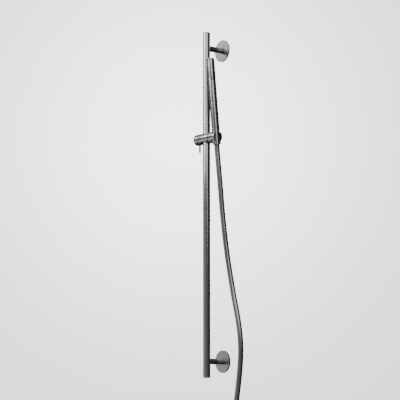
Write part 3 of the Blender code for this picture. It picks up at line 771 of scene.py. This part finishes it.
def make_end_nut():
    """Six-sided union nut with turned corners and a thread inside."""
    top, mouth, corners = -12.0, -30.0, 13.9
    nut = turned("end_nut_fine", ring(0, corners, top, mouth), UNION, 6, 0)
    chamfer, flat, high, low = 12.2, corners + 0.5, top + 0.1, mouth - 0.1
    cone = turned("corner_cone", [(0, high), (chamfer, high), (flat, high - 1.7), (flat, low + 1.7),
                                  (chamfer, low), (0, low)], UNION, 96, 0)
    boolean(nut, [cone], "INTERSECT")

    neck, root, crest, thread_top, pitch, threads = 7.3, 9.75, 9.45, -22.6, 0.9, 7
    bore = [(0, -5), (neck, -5), (neck, -17.6), (root, -17.6), (root, thread_top)]
    for turn in range(threads):
        deep = thread_top - turn * pitch
        bore += [(crest, deep - pitch / 2), (root, deep - pitch)]
    bore += [(10.3, mouth - 0.4), (10.3, mouth - 3), (0, mouth - 3)]
    boolean(nut, [turned("bore", bore, UNION, 64, 0)])
    ease_edges(nut, 0.12)
    place_piece(nut, "end_nut", "gunmetal", brushed("nut_metal", UNION, "turned"), "end_nut")
    return nut


def make_tie():
    """A hook-and-loop band round the coil, with rounded corners."""
    low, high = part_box("hose_tie")
    centre = (low + high) / 2 / MM
    half_x = (high.x - low.x) / 2 / MM - 0.6
    half_y = (high.y - low.y) / 2 / MM - 0.7
    half_z = (high.z - low.z) / 2 / MM
    corner, corner_steps, half_thick = 6.5, 8, 0.45
    loop = []
    for turn, (side_x, side_y) in enumerate(((1, 1), (-1, 1), (-1, -1), (1, -1))):
        for step in range(corner_steps + 1):
            angle = (turn + step / corner_steps) * pi / 2
            loop.append(Vector((side_x * (half_x - corner) + corner * cos(angle),
                                side_y * (half_y - corner) + corner * sin(angle))))
    bm = bmesh.new()
    rings = []
    for point in loop:
        out = point.normalized()
        inner, outer = point - out * half_thick, point + out * half_thick
        rings.append([bm.verts.new((inner.x, inner.y, -half_z)),
                      bm.verts.new((outer.x, outer.y, -half_z)),
                      bm.verts.new((outer.x, outer.y, half_z)),
                      bm.verts.new((inner.x, inner.y, half_z))])
    for here, following in zip(rings, rings[1:] + rings[:1]):
        for k in range(4):
            after = (k + 1) % 4
            bm.faces.new((here[k], here[after], following[after], following[k]))
    tie = mesh_object("hose_tie_band", bm, Matrix.Translation(centre * MM))
    ease_edges(tie, 0.25)
    fabric = plain("tie_fabric", (0.035, 0.035, 0.037), 0.85, 0.0, 1500.0, 0.5)
    place_piece(tie, "hose", "black_plastic", fabric, "hose_tie")
    return tie


def make_hose():
    """The free hose with its end union and its tie."""
    line = even_points(hose_path(), ROW_SPACING)
    hose = tube_mesh("hose", line, HOSE_RADIUS * MM)
    place_piece(hose, None, "hose_sheath", hose_material(),
                "hose_tube", "hose_coil", "hose_tail")
    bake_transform(hose)
    ferrule = make_end_ferrule()
    washer = make_end_washer()
    nut = make_end_nut()
    tie = make_tie()


# ---- wall side and rail -----------------------------------------------------------------
def make_rail():
    """Rail tube and its two caps."""
    cap, cap_gap, edge, plug, play = 3.0, 0.12, 0.9, 12.0, 0.2
    low, high = RAIL_BOTTOM + cap + cap_gap, RAIL_TOP - cap - cap_gap
    tube = turned("rail_fine", ring(RAIL_BORE, RAIL_RADIUS, low, high), RAIL, 128, 0.12)
    place_piece(tube, "rail", "gunmetal", brushed("rail_metal", RAIL, "drawn"), "rail_tube")
    for name, node, end, way in (("top_cap_fine", "rail_top_cap", RAIL_TOP, -1),
                                 ("bottom_cap_fine", "rail_bottom_cap", RAIL_BOTTOM, 1)):
        under, deep = end + way * cap, end + way * plug
        outline = [(0, end), (RAIL_RADIUS - 2 * edge, end), (RAIL_RADIUS - edge, end),
                   (RAIL_RADIUS, end + way * edge), (RAIL_RADIUS, under),
                   (RAIL_BORE - play, under), (RAIL_BORE - play, deep), (0, deep)]
        piece = turned(name, outline, RAIL, 128, 0.3)
        place_piece(piece, "rail", "gunmetal", brushed(name + "_metal", RAIL, "faced"), node)


def make_rosette(label, place):
    """Flat cover disc with a turned rim; the points by rim and hole keep its face flat."""
    front = -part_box(label + "_rosette")[0].y / MM
    skin, rim_bore, hole, margin = front - 1.2, 25.5, POST_RADIUS + 0.25, 1.3
    outline = [(ROSETTE_RADIUS, 0), (ROSETTE_RADIUS, front), (ROSETTE_RADIUS - margin, front),
               (hole + margin, front), (hole, front), (hole, skin), (rim_bore, skin),
               (rim_bore, 0)]
    rosette = turned(label + "_rosette_fine", outline, place, 160, 0.55)
    metal = brushed(label + "_rosette_metal", place, "faced", rough=0.34)
    place_piece(rosette, "rail", "gunmetal", metal, label + "_rosette")


def make_post(label, place, zinc):
    """Post with its saddle for the rail, and the grub screw that locks it on its stub."""
    stub_hole, stud_hole, foot, step = 4.35, 3.4, 2.9, 24.0
    end = WALL_TO_RAIL - RAIL_RADIUS / 2
    outline = [(stub_hole, foot), (POST_RADIUS, foot), (POST_RADIUS, end), (stud_hole, end),
               (stud_hole, step), (stub_hole, step)]
    post = turned(label + "_post_fine", outline, place, 96, 0.1)
    saddle = rod("saddle", RAIL_RADIUS + 0.06, -20, 20,
                 RAIL @ Matrix.Translation((0, 0, place.translation.z)), 128)
    grub_height, grub_radius = 14.0, 1.95
    grub_way = (place @ Matrix.Translation((0, 0, grub_height * MM))
                @ Matrix.Rotation(pi / 2, 4, "X"))
    boolean(post, [saddle, rod("grub_hole", grub_radius + 0.3, 3, 9, grub_way, 32)])
    place_piece(post, "rail", "gunmetal", brushed(label + "_post_metal", place, "drawn"),
                label + "_post")

    grub = turned(label + "_grub_fine", ring(0, grub_radius, 4.4, 6.6), grub_way, 40, 0.2)
    boolean(grub, [rod("socket", 1.1, 5.4, 8, grub_way, 6)])
    place_piece(grub, "rail", "plated_steel", zinc, label + "_post_grub_screw")


def make_wall_screw(label, side, place, zinc):
    """Countersunk wall screw with a crossed slot; the place is its own axis."""
    shank, head, top = 2.0, 3.8, 2.4
    screw = turned(f"{label}_screw_{side}_fine", [(0, 0.1), (shank, 0.1), (shank, 0.9),
                                                  (head, top), (0, top)], place, 48, 0.15)
    half, thin, deep = 1.7, 0.4, top - 1
    boolean(screw, [block("slot", (-half, -thin, deep), (half, thin, 3), place),
                    block("slot", (-thin, -half, deep), (thin, half, 3), place)])
    place_piece(screw, "rail", "plated_steel", zinc, f"{label}_wall_screw_{side}")


def make_wall_plate(label, place, zinc):
    """Wall plate with its stub, and the two screws in its countersunk holes."""
    thick, stub_radius, stub_end = 2.5, 4.0, 22.0
    plate = turned(label + "_plate_fine", [(0, 0), (PLATE_RADIUS, 0), (PLATE_RADIUS, thick),
                                           (stub_radius, thick), (stub_radius, stub_end),
                                           (0, stub_end)], place, 96, 0.25)
    hole, sink = 2.3, 4.2
    for side in ("left", "right"):
        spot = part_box(f"{label}_wall_screw_{side}")
        here = place.copy()
        here.translation = Vector(((spot[0].x + spot[1].x) / 2, 0, place.translation.z))
        boolean(plate, [turned("hole", [(0, -1), (hole, -1), (hole, 0.7), (sink, 2.3),
                                        (sink, thick + 1), (0, thick + 1)], here, 48, 0)])
        make_wall_screw(label, side, here, zinc)
    place_piece(plate, "rail", "plated_steel", zinc, label + "_wall_plate")


def make_wall_end(label, place):
    """All that holds one end of the rail on the wall."""
    zinc = plain(label + "_zinc", ZINC, 0.32, 1.0)
    make_rosette(label, place)
    make_post(label, place, zinc)
    make_wall_plate(label, place, zinc)


# ---- slider, knob and holder ------------------------------------------------------------
def make_slider():
    """Barrel body, rail liner and the washers that show as fine dark lines."""
    body = turned("slider_fine", ring(0, BARREL_RADIUS, *BODY_ENDS), BARREL, 128, 0.2)
    upright = Matrix.Translation(BARREL.translation)
    rail_hole, screw_hole, bolt_hole = 11.4, 4.3, 3.3
    boolean(body, [rod("rail_hole", rail_hole, -20, 20, upright, 96),
                   rod("screw_hole", screw_hole, -30, 0, BARREL, 48),
                   rod("bolt_hole", bolt_hole, 0, 30, BARREL, 48)])
    ease_edges(body, 0.18)
    place_piece(body, "slider", "gunmetal", brushed("slider_metal", BARREL, "turned"),
                "slider_body")

    black = plain("slider_acetal", ACETAL, 0.42, 0.0)
    liner = turned("liner_fine", ring(RAIL_RADIUS + 0.2, rail_hole - 0.2, -LINER_HALF, LINER_HALF),
                   upright, 128, 0.15)
    boolean(liner, [block("slit", (5, -LINER_SLIT_HALF, -20), (20, LINER_SLIT_HALF, 20), upright)])
    place_piece(liner, "rail_bush", "black_plastic", black, "rail_liner")
    left, right = BODY_ENDS
    rim = BARREL_RADIUS - 0.25
    for name, node, low, high, hole in (
            ("knob_washer_fine", "knob_washer", left - GAP - WASHER, left - GAP,
             screw_hole + 0.1),
            ("tilt_washer_fine", "tilt_friction_washer", right + GAP, right + GAP + WASHER,
             bolt_hole + 0.1)):
        washer = turned(name, ring(hole, rim, low, high), BARREL, 128, 0.1)
        place_piece(washer, "slider", "black_plastic", black, node)


def make_knob():
    """Clamp knob with its end cap and lever pin."""
    end, joint = KNOB_ENDS
    screw_hole, socket, floor, edge = 4.35, 9.0, -31.6, 0.9
    outline = [(screw_hole, joint), (BARREL_RADIUS, joint), (BARREL_RADIUS, end + edge),
               (BARREL_RADIUS - edge, end), (socket, end), (socket, floor), (screw_hole, floor)]
    knob = turned("knob_fine", outline, BARREL, 128, 0.3)
    lever_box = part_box("lever_pin")
    lever_x = (lever_box[0].x + lever_box[1].x) / 2
    lever = Matrix.Translation((lever_x, BARREL.translation.y, BARREL.translation.z))
    lever_radius, lever_tip, lever_root = 2.5, -34, -5
    boolean(knob, [rod("lever_hole", lever_radius + 0.12, -20, -3, lever, 64)])
    ease_edges(knob, 0.12)
    place_piece(knob, "clamp_knob", "gunmetal", brushed("knob_metal", BARREL, "turned"),
                "clamp_knob")

    # The lever pin's metal is a darker copy of the gunmetal: painted shade.
    pin = turned("lever_fine", ring(0, lever_radius, lever_tip, lever_root), lever, 64, 0.7)
    place_piece(pin, "clamp_knob", "gunmetal",
                brushed("lever_shade_metal", lever, "drawn", LEVER_SHADE_METAL), "lever_pin")

    cap_radius, cap_thick = socket - 0.2, 2.0
    outline = [(0, end + cap_thick), (cap_radius, end + cap_thick), (cap_radius, end),
               (cap_radius - 1, end), (0, end)]
    cap = turned("knob_cap_fine", outline, BARREL, 96, 0.35)
    place_piece(cap, "clamp_knob", "gunmetal", brushed("knob_cap_metal", BARREL, "faced"),
                "knob_cap")


def nut_radius(height):
    """Outer radius of the conical hose nut."""
    share = (height - NUT_ENDS[0]) / (NUT_ENDS[1] - NUT_ENDS[0])
    return NUT_RADII[0] + share * (NUT_RADII[1] - NUT_RADII[0])


def make_holder():
    """Slotted end of the barrel, with the collar that holds the nut."""
    left, right = (end - HANDSET_X for end in HOLDER_ENDS)
    body = turned("holder_fine", ring(0, BARREL_RADIUS, left, right), HOLDER, 128, 0.8)
    collar = turned("collar", [(0, -20), (10.6, -20), (12.0, -9), (12.0, 0), (0, 0)],
                    HANDSET, 128, 0.5)
    boolean(body, [collar], "UNION")
    play, ledge, low, top = 0.35, -12.3, -26, 20
    seat = turned("seat", [(0, low), (nut_radius(low) + play, low),
                           (nut_radius(ledge) + play, ledge), (10.9, ledge), (11.4, top),
                           (0, top)], HANDSET @ ASKEW, 96, 0)
    slot_half = HOSE_RADIUS + 0.45
    boolean(body, [seat,
                   block("slot", (0, -slot_half, -30), (20, slot_half, 30), HANDSET),
                   rod("counterbore", 5.0, 22.8 - HANDSET_X, -8, HOLDER, 48),
                   rod("bolt_hole", 3.4, -30, -8, HOLDER, 48)])
    ease_edges(body, 0.18)
    place_piece(body, "holder", "gunmetal", brushed("holder_metal", HOLDER, "turned"),
                "holder_body")


def make_seat_liner():
    """Plastic seat between holder and nut, cut to the barrel's round and slotted with it."""
    low, top, play = -12, 11, 0.15
    liner = turned("seat_liner", [(nut_radius(low) + play, low), (10.6, low), (11.1, top),
                                  (nut_radius(top) + play, top)], HANDSET, 96, 0)
    trim = rod("trim", BARREL_RADIUS - 0.35, -30, 30, HOLDER, 128)
    in_collar = turned("in_collar", ring(0, 11.5, -14, 0), HANDSET, 64, 0)
    boolean(trim, [in_collar], "UNION")
    boolean(liner, [trim], "INTERSECT")
    slot_half = HOSE_RADIUS + 0.6
    boolean(liner, [block("slot", (0, -slot_half, -30), (20, slot_half, 30), HANDSET)])
    place_piece(liner, "holder", "black_plastic", plain("seat_acetal", ACETAL, 0.42, 0.0),
                "holder_liner")


# ---- handset ----------------------------------------------------------------------------
def arc_point(radius, degrees):
    """A point at an angle from the spray direction."""
    angle = radians(degrees)
    return (radius * sin(angle), -radius * cos(angle))


def sector(name, inner, outer, half_angle, bottom, top, steps=24):
    """A curved panel facing the spray direction."""
    angles = [half_angle * (2 * step / steps - 1) for step in range(steps + 1)]
    outline = [arc_point(outer, angle) for angle in angles]
    outline += [arc_point(inner, angle) for angle in reversed(angles)]
    return prism(name, outline, bottom, top, HANDSET)


def nozzle_places():
    """A frame for each nozzle: Z points out along the spray."""
    middle_height = (HEAD_JOINT + HANDSET_TOP) / 2 - 1.0
    places = []
    for row in range(NOZZLE_ROWS):
        height = middle_height + NOZZLE_PITCH * (row - (NOZZLE_ROWS - 1) / 2)
        for degrees in NOZZLE_ANGLES:
            turn = Matrix.Rotation(radians(degrees), 4, "Z") @ Matrix.Rotation(pi / 2, 4, "X")
            places.append(HANDSET @ Matrix.Translation((0, 0, height * MM)) @ turn)
    return places


def nozzle(place):
    """One soft nozzle: a slim cone with a hole in its tip."""
    root, tip = 7.6, HANDSET_RADIUS + 0.5
    outline = [(0, root), (0.88, root), (0.74, tip - 0.45), (0.62, tip), (0.28, tip),
               (0.2, tip - 1.35), (0, tip - 1.35)]
    return turned("nub", outline, place, 20, 0.1)


def make_handle():
    """Handle tube; the points by its ends keep its side straight."""
    low, high, margin = NUT_ENDS[1] + SEAM, HEAD_JOINT, 1
    outline = [(HANDSET_BORE, low), (HANDSET_RADIUS, low), (HANDSET_RADIUS, low + margin),
               (HANDSET_RADIUS, high - margin), (HANDSET_RADIUS, high), (HANDSET_BORE, high)]
    handle = turned("handle_fine", outline, HANDSET, 128, 0.2)
    place_piece(handle, "handset", "gunmetal", brushed("handle_metal", HANDSET, "drawn"),
                "handle_tube")


def make_spray_head():
    """Sleeve with its window, the plate in the window, and the mat with the nozzles."""
    low, high = HEAD_ENDS
    window_low, window_high = WINDOW_ENDS
    sleeve = turned("sleeve_fine", ring(HANDSET_BORE, HANDSET_RADIUS, low, high),
                    HANDSET, 128, 0.2)
    boolean(sleeve, [sector("window", 8, 12, WINDOW_HALF_ANGLE, window_low, window_high)])
    ease_edges(sleeve, 0.12)
    head_metal = brushed("head_metal", HANDSET, "drawn")
    place_piece(sleeve, "handset", "gunmetal", head_metal, "spray_sleeve")

    play, play_angle = 0.2, 0.8
    plate = sector("plate_fine", HANDSET_BORE + 0.1, HANDSET_RADIUS - 0.15,
                   WINDOW_HALF_ANGLE - play_angle, window_low + play, window_high - play, 32)
    places = nozzle_places()
    holes = merged("holes", [rod("hole", 0.95, 7.5, 12, place, 24) for place in places])
    boolean(plate, [holes])
    ease_edges(plate, 0.1)
    place_piece(plate, "handset", "gunmetal", head_metal, "spray_plate")

    nozzles = [nozzle(place) for place in places]
    margin = 2.5
    backing = turned("backing", ring(7.9, 8.5, low + margin, high - margin), HANDSET, 96, 0)
    boolean(backing, [sector("front", 6, 12, 42, low, high)], "INTERSECT")
    mat = merged("nozzle_mat_fine", nozzles + [backing])
    rubber = plain("nozzle_silicone", SILICONE, 0.5, 0.0, 1200.0, 0.1)
    place_piece(mat, "handset", "silicone", rubber, "nozzle_mat")


def make_handset_cap():
    """Flat cap on the spray head, with a short plug."""
    rim, plug_radius, plug = HEAD_ENDS[1] + SEAM, 8.4, 1.4
    bottom = HEAD_ENDS[1] - plug
    outline = [(0, bottom), (plug_radius, bottom), (plug_radius, rim), (HANDSET_RADIUS, rim),
               (HANDSET_RADIUS, HANDSET_TOP), (HANDSET_RADIUS - 1.5, HANDSET_TOP),
               (0, HANDSET_TOP)]
    cap = turned("handset_cap_fine", outline, HANDSET, 128, 0.6)
    place_piece(cap, "handset", "gunmetal", brushed("cap_metal", HANDSET, "faced"),
                "handset_top_cap")


def make_nut():
    """Slim conical nut between hose and handset; the points by its ends keep it straight."""
    low, high = NUT_ENDS
    hose_hole, thread, step, margin = HOSE_RADIUS + 0.25, 8.65, 7.0, 1
    heights = (low, low + margin, high - margin, high)
    outline = [(hose_hole, low)] + [(nut_radius(height), height) for height in heights]
    outline += [(thread, high), (thread, step), (hose_hole, step)]
    nut = turned("hose_nut_fine", outline, HANDSET, 128, 0.35)
    # The nut's metal is a lighter copy of the gunmetal: painted highlight.
    place_piece(nut, "hose_nut", "gunmetal",
                brushed("nut_cone_highlight_metal", HANDSET, "turned", NUT_HIGHLIGHT_METAL), "hose_nut")


# ---- pieces inside, kept as the frame has them ------------------------------------------
def finish_inner_nodes():
    """Give every node its own finish, by its material slot."""
    finishes = {
        "gunmetal": plain("inner_gunmetal", (0.44, 0.435, 0.43), 0.3, 1.0),
        "plated_steel": plain("inner_zinc", ZINC, 0.32, 1.0),
        "raw_brass": plain("inner_brass", BRASS, 0.3, 1.0),
        "black_plastic": plain("inner_acetal", ACETAL, 0.42, 0.0),
        "white_plastic": plain("inner_white", (0.74, 0.74, 0.72), 0.45, 0.0),
        "black_rubber": plain("inner_rubber", RUBBER, 0.6, 0.0),
        "silicone": plain("inner_silicone", SILICONE, 0.5, 0.0),
        "hose_sheath": plain("inner_sheath", (0.3, 0.3, 0.3), 0.3, 0.9),
    }
    for entry in frame["record"]["subparts"]:
        node = NODES[entry["node"]]
        node.data.materials.clear()
        node.data.materials.append(finishes[entry["material_slot"]])
        node.data.shade_smooth()


make_camera()
make_world()
# Name, degrees to the camera's right, width, lower and upper end in metres, brightness.
for lamp_values in (("left_box", -60, 1.1, 0.0, 1.7, 5.2),
                    ("front_box", 10, 1.2, 0.0, 1.2, 2.1),
                    ("side_box", -104, 0.42, 0.47, 1.3, 3.6),
                    ("strip_box", 20, 0.36, -0.35, 0.0, 1.6),
                    ("low_box", -104, 0.5, -1.0, -0.62, 0.85)):
    make_lamp(*lamp_values)
make_card("dark_card", -104, 0.5, -0.27, -0.05)
make_hose()
make_rail()
for end_label, end_place in WALL_ENDS.items():
    make_wall_end(end_label, end_place)
make_slider()
make_knob()
make_holder()
make_seat_liner()
make_handle()
make_spray_head()
make_handset_cap()
make_nut()
finish_inner_nodes()
make_floor()
